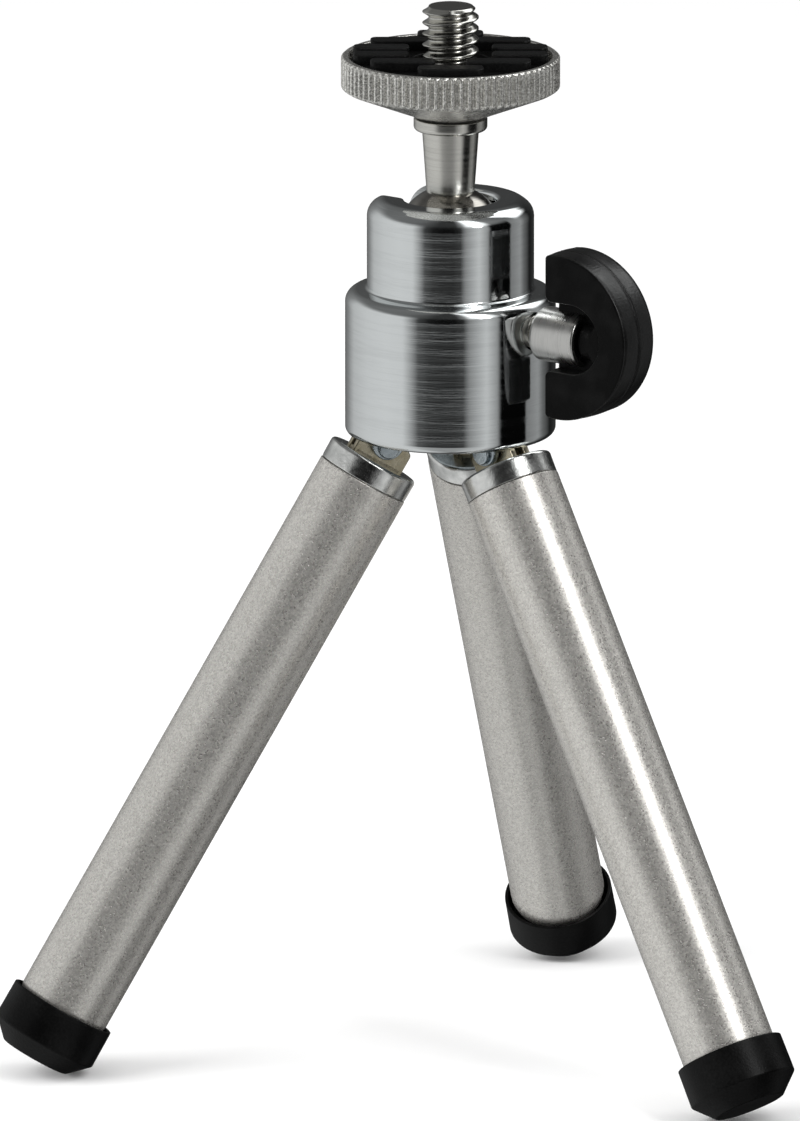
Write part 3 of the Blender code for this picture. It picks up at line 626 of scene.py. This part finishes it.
NOTCH_HALF, NOTCH_DEEP = 3.9, 7.4
WING_R, WING_CENTRE = 9.5, 1.8
wing_x = KNOB_X + WING_CENTRE
notch_x = KNOB_X + NOTCH_DEEP - NOTCH_HALF
corner = np.arccos(-WING_CENTRE / WING_R) - 0.14
bow = np.linspace(-corner, corner, 72)
bow_points = [(wing_x + WING_R * np.cos(a), WING_R * np.sin(a)) for a in bow]
notch_bow = np.linspace(np.pi / 2, -np.pi / 2, 28)
notch_points = [(notch_x + NOTCH_HALF * np.cos(a), NOTCH_HALF * np.sin(a)) for a in notch_bow]
wing_top = np.sqrt(WING_R ** 2 - WING_CENTRE ** 2)
wing_path = rounded([*bow_points, (KNOB_X, wing_top, 0.6), (KNOB_X, NOTCH_HALF, 0.8),
                     *notch_points, (KNOB_X, -NOTCH_HALF, 0.8), (KNOB_X, -wing_top, 0.6)],
                    closed=True)
half = WING_THICK / 2
t = np.linspace(0, 1, 7)[1:-1]
crown = np.stack([0.30 * (1 - np.sin(np.pi * (0.2 + 0.3 * t))) - 0.02,
                  -half + 0.32 + (half - 0.42) * t], axis=-1)
low_edge = [(0.44, -half), (0.30, -half), (0.16, -half + 0.05), (0.08, -half + 0.16)]
seam = [(0.015, -0.10), (-0.03, -0.05), (-0.03, 0.05), (0.015, 0.10)]
wing_edge = np.array([*low_edge, *crown, *seam, *[(i, -y) for i, y in crown[::-1]],
                      *[(i, -y) for i, y in low_edge[::-1]]])
upright = Matrix.Rotation(np.pi / 2, 4, "X")
wing_frame = head_frame @ Matrix.Translation((0, 0, CLAMP_UP + WING_LIFT)) @ upright
wing = plated("knob_wing", wing_path, wing_frame, wing_edge)

hub_end = KNOB_X + NOTCH_DEEP + 1.2
hub_rise = np.linspace(0, 1, 20)
hub_flare = np.stack([2.2 + 2.1 * hub_rise ** 3,
                      BOSS_END + 0.35 + (hub_end - 1.6 - BOSS_END) * hub_rise], axis=-1)
hub_outline = np.concatenate([[(0, BOSS_END + 0.1), (1.9, BOSS_END + 0.1)], hub_flare,
                              [(4.2, hub_end), (0, hub_end)]])
hub = turned("knob_hub", hub_outline, clamp_frame, facets=96)
HUB_SUNK = 0.45    # how far the hub's two flats lie under the wing's faces
points = np.empty(len(hub.data.vertices) * 3)
hub.data.vertices.foreach_get("co", points)
points = points.reshape(-1, 3)
sideways = np.clip((points[:, 1] - head_y) / MM, -half + HUB_SUNK, half - HUB_SUNK)
points[:, 1] = head_y + sideways * MM
hub.data.vertices.foreach_set("co", points.ravel())
hub.data.update()
web_low, web_high = -NOTCH_HALF - 0.3, NOTCH_HALF + 0.3
web_start, web_end = KNOB_X + 0.4, notch_x + 3.0
web_path = rounded([(web_start, web_low, 0.2), (web_end, web_low, 2.0), (web_end, web_high, 2.0),
                    (web_start, web_high, 0.2)], closed=True)
WEB_THICK = 1.2
web = plated("notch_web", web_path, wing_frame, soft_rim(WEB_THICK, 0.1, low=-WEB_THICK / 2))
knob = joined("winged_knob", wing, web, hub)


def build_knob_plastic():
    """Moulded black plastic: half gloss, a slight orange peel and rubbed, lighter high spots."""
    material, tree, shader, place = started("black_plastic", 0.34, 0.0, (0.004, 0.004, 0.004))
    facing = node(tree, "ShaderNodeSeparateXYZ",
                  {0: node(tree, "ShaderNodeTexCoord").outputs["Normal"]}).outputs["Y"]
    sideways = node(tree, "ShaderNodeMath", {0: facing}, operation="ABSOLUTE").outputs[0]
    tree.links.new(ranged(tree, sideways, 0.55, 0.07, 0.5, 0.95),
                   shader.inputs["Specular IOR Level"])
    height, tone = grained(tree, place, 0.32, 3.0)
    tree.links.new(toned(tree, ranged(tree, tone, 0, 1, 0.45, 0.75), (0.0015, 0.0015, 0.0015),
                         (0.004, 0.004, 0.004)), shader.inputs["Base Color"])
    tree.links.new(ranged(tree, tone, 0.26, 0.44), shader.inputs["Roughness"])
    bumped(tree, shader, height, 0.03)
    return material


dressed(knob, build_knob_plastic(), "black_plastic", "knob", "clamp_knob")


# Lug plate and its screw. Stamped steel with a bluish zinc plating: a round plate in the hollow
# under the head, three pairs of ears bent down for the legs, and a cross-slotted screw in the
# middle.

plate_low, plate_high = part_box("lug_plate")
fixing_low, fixing_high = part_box("plate_screw")


def plated_steel(name, dark, light, roughness):
    """Plated steel: a mottled tint, soft gloss and a faint rolled grain."""
    material, tree, shader, place = started(name, roughness, 1.0, light)
    height, tone = grained(tree, place, 0.5, 1.6)
    tree.links.new(toned(tree, ranged(tree, tone, 0, 1), dark, light), shader.inputs["Base Color"])
    tree.links.new(ranged(tree, height, roughness - 0.07, roughness + 0.07),
                   shader.inputs["Roughness"])
    bumped(tree, shader, height, 0.02)
    return material


blue_zinc = plated_steel("blue_zinc", (0.46, 0.52, 0.56), (0.62, 0.68, 0.71), 0.27)
PLATE_TOP = above(plate_high.z)
PLATE_R = (plate_high.x - plate_low.x) / 2 / MM
PLATE_THICK = 1.0
leg_joints = {j["name"]: j for j in frame["joints"]}
EAR_THICK, EAR_INNER, EAR_R, EAR_LIFT = 0.8, 1.75, 1.85, 0.45
plate_outline = rounded([(0, PLATE_TOP - PLATE_THICK), (PLATE_R, PLATE_TOP - PLATE_THICK, 0.15),
                         (PLATE_R, PLATE_TOP, 0.15), (0, PLATE_TOP)])
plate_parts = [turned("plate_round", plate_outline, head_frame)]
leg_frames, pin_frames = {}, {}
bottom_bow = np.linspace(np.pi, 2 * np.pi, 26)
for n in (1, 2, 3):
    fold, pull = leg_joints[f"leg_{n}_fold"], leg_joints[f"leg_{n}_extend"]
    y_axis, z_axis = Vector(fold["axis"]), -Vector(pull["axis"])
    x_axis = y_axis.cross(z_axis)
    spin = Matrix((x_axis, y_axis, z_axis)).transposed().to_4x4()
    leg_frames[n] = Matrix.Translation(fold["pos_m"]) @ spin @ Matrix.Scale(MM, 4)
    level = Matrix((y_axis.cross(Vector((0, 0, 1))), y_axis, (0, 0, 1))).transposed().to_4x4()
    pin_frames[n] = Matrix.Translation(fold["pos_m"]) @ level @ Matrix.Scale(MM, 4) @ upright
    top = PLATE_TOP - PLATE_THICK / 2 - above(fold["pos_m"][2])
    ear_path = rounded([(EAR_R, top, 0.3), (-EAR_R, top, 0.3),
                        *[(EAR_R * np.cos(a), EAR_LIFT + EAR_R * np.sin(a)) for a in bottom_bow]],
                       closed=True)
    for side in (-1, 1):
        start = EAR_INNER if side > 0 else -EAR_INNER - EAR_THICK
        plate_parts.append(plated("plate_ear", ear_path, pin_frames[n],
                                  soft_rim(EAR_THICK, 0.14, low=start)))
lug_plate = joined("zinc_lug_plate", *plate_parts)
dressed(lug_plate, blue_zinc, "zinc_plate", "head", "lug_plate")

FIX_LOW = above(fixing_low.z)
FIX_R, FIX_TALL = 2.6, 1.2
SHANK_R, SHANK_END = 1.4, 5.5
CROSS_REACH, CROSS_HALF, CROSS_DEEP, CROSS_ROUND = 1.5, 0.3, 0.6, 0.08
fix_outline = rounded([(0, FIX_LOW), (FIX_R, FIX_LOW, 0.5), (FIX_R, FIX_LOW + FIX_TALL, 0.1),
                       (SHANK_R, FIX_LOW + FIX_TALL), (SHANK_R, FIX_LOW + SHANK_END, 0.3),
                       (0, FIX_LOW + SHANK_END)])
fixing = turned("plate_fixing_screw", fix_outline, head_frame, facets=48)
arm = [(-CROSS_REACH, -CROSS_HALF), (-CROSS_HALF, -CROSS_HALF), (-CROSS_HALF, -CROSS_REACH)]
cross_corners = []
for _ in range(4):
    cross_corners += [(x, y, CROSS_ROUND) for x, y in arm]
    arm = [(-y, x) for x, y in arm]
cross = plated("cross_shape", rounded(cross_corners, closed=True), head_frame,
               [(0, FIX_LOW - 1), (0, FIX_LOW + CROSS_DEEP)])
cut_out(fixing, cross)
applied(fixing, cross)
fixing.data.shade_smooth()
fixing.data.set_sharp_from_angle(angle=np.radians(35))
dressed(fixing, blue_zinc, "zinc_plate", "head", "plate_screw")


# Hidden pieces. A nylon pressure cup hugs the ball from below, with a notch that lets the stem lie
# down in the slot. The steel plug that closes the bore and the legs' nylon bushes keep their packed
# shapes.

def build_nylon():
    """Natural nylon: off-white, waxy, with faint flow marks."""
    material, tree, shader, place = started("natural_nylon", 0.45, 0.0, (0.74, 0.72, 0.66))
    height, tone = grained(tree, place, 0.4, 2.0)
    tree.links.new(toned(tree, ranged(tree, tone, 0, 1), (0.66, 0.64, 0.57), (0.78, 0.76, 0.71)),
                   shader.inputs["Base Color"])
    tree.links.new(ranged(tree, height, 0.38, 0.54), shader.inputs["Roughness"])
    bumped(tree, shader, height, 0.02)
    return material


nylon = build_nylon()
cup_low, cup_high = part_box("pressure_cup")
CUP_R = (cup_high.x - cup_low.x) / 2 / MM
CUP_HUG = BALL_R + 0.05
CUP_TIP_R = 2.2
cup_tip, cup_top = above(cup_low.z), above(cup_high.z)
hollow_turn = np.linspace(np.arcsin((cup_top - BALL_UP) / CUP_HUG), -np.pi / 2, 24)
hollow = np.stack([CUP_HUG * np.cos(hollow_turn), BALL_UP + CUP_HUG * np.sin(hollow_turn)], axis=-1)
hollow[-1, 0] = 0.0
cup_outline = np.concatenate([[(0, cup_tip), (CUP_TIP_R, cup_tip),
                               (CUP_R, cup_tip + CUP_R - CUP_TIP_R), (CUP_R, cup_top)], hollow])
cup = turned("ball_cup", cup_outline, head_frame)
notch_shape = capped(skinned("notch_shape", slot_grid, head_frame))
cut_out(cup, notch_shape)
applied(cup, notch_shape)
dressed(cup, nylon, "white_nylon", "cup", "pressure_cup")

kept = {"core_plug": blue_zinc, **{f"leg_{n}_guide_bush": nylon for n in (1, 2, 3)}}
for name, material in kept.items():
    frame["nodes"][name].data.materials.clear()
    frame["nodes"][name].data.materials.append(material)


# Legs. Each one hangs on a rivet between two ears: a folded, yellow-passivated bracket, a bright
# turned cap, a thin outer tube with a sparkling satin finish and a rolled-in end, a plain inner tube
# and a rubber foot, a cup that stands loose round the end of the outer tube.

yellow_zinc = plated_steel("yellow_zinc", (0.50, 0.44, 0.30), (0.70, 0.64, 0.50), 0.30)
CAP_TOP, CAP_TALL = -2.0, 2.5
TUBE_R, TUBE_WALL, TUBE_LENGTH = 5.35, 0.4, 69.5
TONGUE_HALF, TONGUE_R, CHEEK = 3.2, 2.05, 0.9
CHEEK_START = 0.55
STOP_ROOM = 0.6
PLUG_TALL, PLUG_R = 3.0, TUBE_R - TUBE_WALL - 0.1
RIVET_R, RIVET_HEAD_R, RIVET_HEAD = 0.75, 1.2, 0.42
INNER_R, INNER_BORE, INNER_REACH = 4.5, 4.1, 43.4
FOOT_TALL, FOOT_FLOOR, FOOT_BORE = 6.55, 3.1, 5.74


def build_satin():
    """Satin metallic finish on the tubes: small bright and dull flakes in a warm silver, with a
    fine bead-blasted surface under them."""
    material, tree, shader, place = started("satin_silver", 0.33, 0.84, (0.60, 0.58, 0.55))
    height, _ = grained(tree, place, 0.15, 3.0)
    flakes = node(tree, "ShaderNodeTexVoronoi", {"Vector": place, "Scale": 1 / (0.17 * MM)})
    flake = node(tree, "ShaderNodeSeparateColor", {"Color": flakes.outputs["Color"]}).outputs["Red"]
    mixed = node(tree, "ShaderNodeMix", {"Factor": 0.55, "A": height, "B": flake},
                 data_type="FLOAT").outputs[0]
    tree.links.new(toned(tree, ranged(tree, mixed, 0, 1, 0.25, 0.8), (0.57, 0.55, 0.52),
                         (0.84, 0.815, 0.77)), shader.inputs["Base Color"])
    tree.links.new(ranged(tree, flake, 0.26, 0.38, 0.0, 1.0), shader.inputs["Roughness"])
    bumped(tree, shader, flake, 0.009)
    return material


satin = build_satin()
cap_metal = plated_steel("cap_nickel", (0.66, 0.665, 0.65), (0.98, 0.98, 0.96), 0.20)
foot_rubber = build_rubber("foot_rubber", (0.0012, 0.0012, 0.0012), 0.25, 0.03, 0.40)
inner_metal = plated_steel("inner_tube_nickel", (0.58, 0.575, 0.56), (0.70, 0.695, 0.68), 0.20)

for n, leg_frame in leg_frames.items():
    leg, inner_leg = f"leg_{n}", f"leg_{n}_inner"
    reach = EAR_INNER + EAR_THICK + 0.02
    rivet_end = reach + RIVET_HEAD
    rivet_outline = rounded([(0, -rivet_end), (RIVET_HEAD_R, -rivet_end, 0.35),
                             (RIVET_HEAD_R, -reach, 0.05), (RIVET_R, -reach), (RIVET_R, reach),
                             (RIVET_HEAD_R, reach, 0.05), (RIVET_HEAD_R, rivet_end, 0.35),
                             (0, rivet_end)])
    rivet = turned(f"{leg}_hinge_rivet", rivet_outline, pin_frames[n], facets=40)
    dressed(rivet, blue_zinc, "zinc_plate", "head", f"{leg}_rivet")

    spread = np.arccos(Vector(leg_joints[f"{leg}_extend"]["axis"]).z)

    def stop_height(across):
        """Height of the bracket's sloping upper edge on its outer side."""
        return (STOP_ROOM - across * np.sin(spread)) / np.cos(spread)

    top_bow = np.linspace(np.arctan2(stop_height(1.95), 1.95), np.radians(125), 20)
    cheek_path = rounded([(-TONGUE_HALF, CAP_TOP - 1.5, 0.3), (TONGUE_HALF, CAP_TOP - 1.5, 0.3),
                          (TONGUE_HALF, stop_height(TONGUE_HALF), 0.3),
                          *[(TONGUE_R * np.cos(a), TONGUE_R * np.sin(a)) for a in top_bow],
                          (-TONGUE_HALF, 0.3, 0.5)], closed=True)
    cheeks = [plated("cheek", cheek_path, leg_frame @ upright, soft_rim(CHEEK, 0.16, low=start))
              for start in (CHEEK_START, -CHEEK_START - CHEEK)]
    fold_x, fold_y = TONGUE_HALF - 0.1, CHEEK_START + CHEEK
    fold_path = rounded([(-fold_x, -fold_y, 0.3), (fold_x, -fold_y, 0.3), (fold_x, fold_y, 0.3),
                         (-fold_x, fold_y, 0.3)], closed=True)
    web = plated("fold_web", fold_path, leg_frame, soft_rim(1.4, 0.1, low=CAP_TOP - 1.1))
    bracket = joined(f"{leg}_folded_bracket", *cheeks, web)
    dressed(bracket, yellow_zinc, "yellow_zinc", leg, f"{leg}_bracket")

    cap_low = CAP_TOP - CAP_TALL
    cap_outline = rounded([(0, cap_low - PLUG_TALL), (PLUG_R, cap_low - PLUG_TALL),
                           (PLUG_R, cap_low, 0.05), (TUBE_R - 0.05, cap_low, 0.12),
                           (TUBE_R - 0.02, CAP_TOP, 0.4), (0, CAP_TOP)])
    cap = turned(f"{leg}_tube_cap", cap_outline, leg_frame)
    dressed(cap, cap_metal, "turned_nickel", leg, f"{leg}_cap")

    tube_top = cap_low - 0.1
    tube_end = tube_top - TUBE_LENGTH
    tube_outline = rounded([(TUBE_R - 0.38, tube_end, 0.1), (TUBE_R, tube_end + 1.15, 1.6),
                            (TUBE_R, tube_top, 0.09), (TUBE_R - TUBE_WALL, tube_top, 0.09),
                            (TUBE_R - TUBE_WALL, tube_end + 1.1, 1.2),
                            (TUBE_R - TUBE_WALL - 0.3, tube_end, 0.1)], closed=True, longest=2.5)
    tube = turned(f"{leg}_satin_tube", tube_outline, leg_frame, facets=128, loop=True)
    dressed(tube, satin, "satin_silver", leg, f"{leg}_outer_tube")

    rim = tube_end + 1.0
    base = rim - FOOT_TALL
    inner_low, inner_high = base + FOOT_FLOOR + 0.3, tube_end + INNER_REACH
    inner_outline = rounded([(INNER_BORE, inner_low), (INNER_R, inner_low, 0.05),
                             (INNER_R, inner_high, 0.1), (INNER_BORE, inner_high)],
                            closed=True, longest=3)
    inner_tube = turned(f"{leg}_plain_tube", inner_outline, leg_frame, loop=True)
    dressed(inner_tube, inner_metal, "turned_nickel", inner_leg, f"{leg}_inner_tube")

    floor_up = base + FOOT_FLOOR
    foot_outline = rounded([(0, base), (4.03, base, 0.35), (6.18, base + 2.15, 0.35),
                            (6.14, rim, 0.14), (FOOT_BORE, rim, 0.14), (FOOT_BORE, floor_up, 0.3),
                            (4.6, floor_up), (0, floor_up)])
    foot = turned(f"{leg}_rubber_foot", foot_outline, leg_frame)
    dressed(foot, foot_rubber, "black_rubber", inner_leg, f"{leg}_foot")


# Studio. A plain pale floor, a pale surround for the soft light, and a surround for reflections
# alone: a large soft box to the left, a dark room in front, a strip light and a black card to the
# right. The floor stays out of reflections, so that metal shows the surround.

camera_turn, camera_rise = np.radians(37), np.radians(13.3)
toward = Vector((np.sin(camera_turn) * np.cos(camera_rise),
                 -np.cos(camera_turn) * np.cos(camera_rise), np.sin(camera_rise)))
right = Vector((np.cos(camera_turn), np.sin(camera_turn), 0))
upward = toward.cross(right)
anchor = Vector((head_x, head_y, housing_low.z - 20 * MM))
DISTANCE = 3.56
aim = anchor - right * 5.67 * MM + upward * 4.97 * MM
camera_data = bpy.data.cameras.new("camera")
camera_data.lens = 1015.0
camera_data.clip_end = 20.0
camera = bpy.data.objects.new("camera", camera_data)
facing = Matrix((right, upward, toward)).transposed().to_4x4()
camera.matrix_world = Matrix.Translation(aim + toward * DISTANCE) @ facing
bpy.context.scene.collection.objects.link(camera)
bpy.context.scene.camera = camera
bpy.context.scene.view_settings.view_transform = "Standard"

floor_mesh = bpy.data.meshes.new("floor")
FLOOR = 6.0
floor_mesh.from_pydata([(-FLOOR, -FLOOR, 0), (FLOOR, -FLOOR, 0), (FLOOR, FLOOR, 0),
                        (-FLOOR, FLOOR, 0)], [], [(0, 1, 2, 3)])
floor = bpy.data.objects.new("floor", floor_mesh)
floor.location.z = cad_low[2] - 0.0001
floor.visible_glossy = False
bpy.context.scene.collection.objects.link(floor)
paint, tree, shader, place = started("floor_paint", 0.9, 0.0, (0.93, 0.93, 0.93))
shader.inputs["Specular IOR Level"].default_value = 0.0
floor_mesh.materials.append(paint)

# Brightness of the surround against the angle to the right of the camera's own side, at the height
# of the tripod and above it, and then below it, where the lit table shows.
ABOVE = [(-180, 0.05), (-150, 0.24), (-132, 0.50), (-105, 0.60), (-76, 0.64), (-54, 0.62),
         (-45, 0.34), (-36, 0.05), (-24, 0.010), (-10, 0.004), (4, 0.004), (14, 0.02), (21, 0.24),
         (40, 0.56), (53, 0.30), (57, 0.001), (90, 0.001), (92, 0.20), (112, 0.30), (122, 0.14),
         (140, 0.01), (180, 0.05)]
BELOW = [(-180, 0.05), (-150, 0.24), (-132, 0.48), (-105, 0.58), (-76, 0.62), (-54, 0.62),
         (-45, 0.56), (-36, 0.42), (-24, 0.34), (-10, 0.30), (4, 0.30), (14, 0.34), (21, 0.42),
         (40, 0.58), (53, 0.30), (57, 0.005), (90, 0.005), (92, 0.20), (112, 0.28), (122, 0.12),
         (140, 0.01), (180, 0.05)]
world = bpy.data.worlds.new("studio")
world.use_nodes = True
bpy.context.scene.world = world
tree = world.node_tree
background = tree.nodes["Background"]
heading = node(tree, "ShaderNodeSeparateXYZ",
               {0: node(tree, "ShaderNodeTexCoord").outputs["Generated"]})
compass = node(tree, "ShaderNodeMath", {0: heading.outputs["Y"], 1: heading.outputs["X"]},
               operation="ARCTAN2")
from_camera = node(tree, "ShaderNodeMath", {0: compass.outputs[0], 1: np.pi / 2 - camera_turn},
                   operation="ADD")
wrapped = node(tree, "ShaderNodeMath", {0: from_camera.outputs[0], 1: np.pi, 2: -np.pi},
               operation="WRAP")
share = node(tree, "ShaderNodeMapRange", {"Value": wrapped.outputs[0], "From Min": -np.pi,
                                          "From Max": np.pi})


def banded(levels):
    """A ring of soft grey bands round the tripod."""
    bands = node(tree, "ShaderNodeValToRGB", {"Fac": share.outputs[0]})
    stops = bands.color_ramp.elements
    for spot, (degrees, level) in enumerate(levels):
        stop = stops[spot] if spot < 2 else stops.new((degrees + 180) / 360)
        stop.position = (degrees + 180) / 360
        stop.color = (level * 0.985, level, level, 1)
    return bands.outputs["Color"]


def between(value, low, high):
    """A smooth step from 0 to 1 between two values."""
    return node(tree, "ShaderNodeMapRange", {"Value": value, "From Min": low, "From Max": high},
                interpolation_type="SMOOTHSTEP").outputs["Result"]


def blended(share_of_second, first, second):
    """Two colours, mixed by a 0-to-1 value."""
    return node(tree, "ShaderNodeMix", {"Factor": share_of_second, "A": first, "B": second},
                data_type="RGBA").outputs["Result"]


height = heading.outputs["Z"]
ring = blended(between(height, -0.33, -0.20), banded(BELOW), banded(ABOVE))
OVERHEAD = [(-180, 0.10), (-120, 0.16), (-60, 0.13), (-20, 0.03), (8, 0.03), (18, 0.25),
            (26, 1.3), (52, 1.3), (62, 0.2), (106, 0.12), (118, 2.6), (140, 2.6), (152, 0.10),
            (180, 0.08)]
sky = blended(between(height, 0.30, 0.62), ring, banded(OVERHEAD))
path = node(tree, "ShaderNodeLightPath")
open_air = blended(path.outputs["Is Camera Ray"], (0.80, 0.80, 0.80, 1), (0.97, 0.97, 0.97, 1))
seen = blended(path.outputs["Is Glossy Ray"], open_air, sky)
tree.links.new(seen, background.inputs["Color"])


def soft_light(name, angle, rise, distance, size, power, mirrored=False):
    """An area light at an angle to the right of the camera, aimed at the middle of the tripod."""
    data = bpy.data.lights.new(name, "AREA")
    data.shape = "RECTANGLE"
    data.size, data.size_y = size
    data.energy = power
    light = bpy.data.objects.new(name, data)
    light.visible_glossy = mirrored
    turn = camera_turn - np.pi / 2 + np.radians(angle)
    direction = Vector((np.cos(turn) * np.cos(rise), np.sin(turn) * np.cos(rise), np.sin(rise)))
    middle = Vector((head_x, head_y, 0.06))
    light.location = middle + direction * distance
    light.rotation_euler = direction.to_track_quat("Z", "Y").to_euler()
    bpy.context.scene.collection.objects.link(light)


soft_light("left_box", -70, np.radians(22), 0.9, (0.7, 0.9), 9.0)
soft_light("right_strip", 40, np.radians(42), 0.8, (0.16, 0.5), 1.6, mirrored=True)
soft_light("back_panel", 105, np.radians(20), 0.9, (0.3, 0.7), 2.0)
